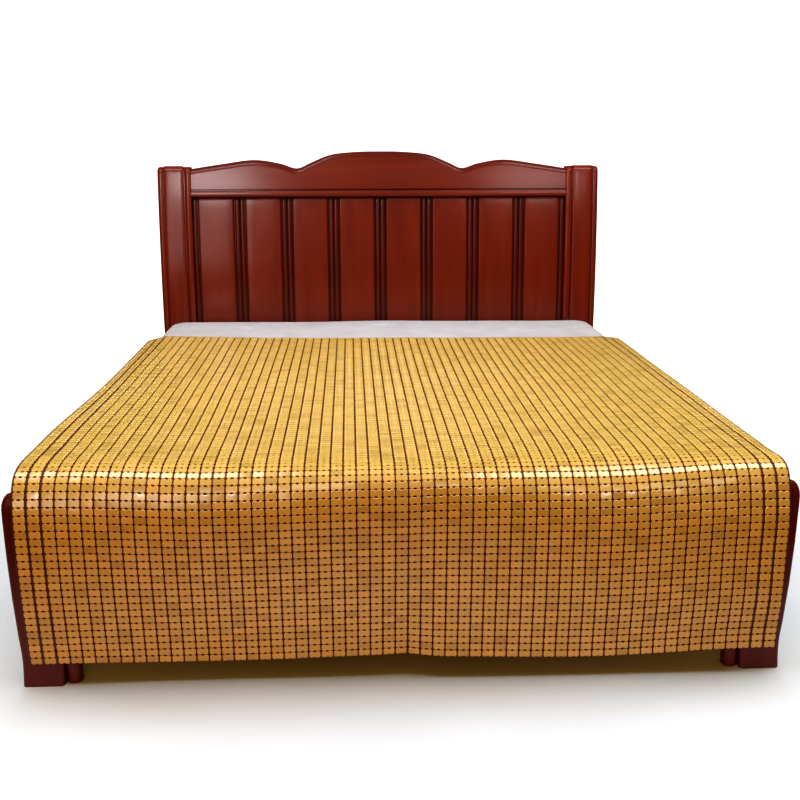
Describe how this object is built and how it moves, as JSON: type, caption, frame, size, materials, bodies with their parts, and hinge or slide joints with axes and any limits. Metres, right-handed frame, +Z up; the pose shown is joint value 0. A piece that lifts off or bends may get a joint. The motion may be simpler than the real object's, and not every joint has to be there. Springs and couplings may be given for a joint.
{
  "type": "bamboo mat on a double bed with mattress",
  "caption": "Bamboo tile mat laid over a mattress and hanging down over the foot of a wooden double bed with a scalloped headboard.",
  "frame": {"origin": "on the floor under the middle of the whole thing", "axes": "+Z up, -Y towards the foot of the bed where the mat hangs down, +Y towards the headboard, +X to the right seen from the foot"},
  "size_m": [1.868, 2.17, 1.233],
  "materials": {
    "bamboo_tiles": "clear-lacquered bamboo tiles on dark red-brown cords",
    "cord": "glossy dark red-brown nylon cord",
    "mattress_cover": "white-lavender cotton sheet",
    "lacquered_wood": "red mahogany gloss lacquer",
    "shaded_wood": "red-brown stained wood",
    "plain_wood": "planed bare wood"
  },
  "bodies": {
    "root": {"bamboo_mat": "bamboo_tiles", "mattress": "mattress_cover", "foot_post_left": "lacquered_wood", "foot_post_right": "lacquered_wood", "foot_panel": "lacquered_wood", "foot_top_rail": "lacquered_wood", "foot_bracket_left": "lacquered_wood", "foot_bracket_right": "lacquered_wood", "headboard_post_left": "lacquered_wood", "headboard_post_right": "lacquered_wood", "headboard_board_1": "lacquered_wood", "headboard_board_2": "lacquered_wood", "headboard_board_3": "lacquered_wood", "headboard_board_4": "lacquered_wood", "headboard_board_5": "lacquered_wood", "headboard_board_6": "lacquered_wood", "headboard_board_7": "lacquered_wood", "headboard_board_8": "lacquered_wood", "headboard_bead_rail": "lacquered_wood", "headboard_crest": "lacquered_wood", "side_rail_left": "lacquered_wood", "side_rail_right": "lacquered_wood", "foot_bottom_rail": "shaded_wood", "headboard_lower_rail": "shaded_wood", "slat_1": "plain_wood", "slat_2": "plain_wood", "slat_3": "plain_wood", "slat_4": "plain_wood", "slat_5": "plain_wood", "slat_6": "plain_wood", "slat_7": "plain_wood", "slat_8": "plain_wood", "slat_9": "plain_wood", "slat_10": "plain_wood", "centre_beam": "plain_wood", "centre_leg": "plain_wood"}
  },
  "joints": []
}
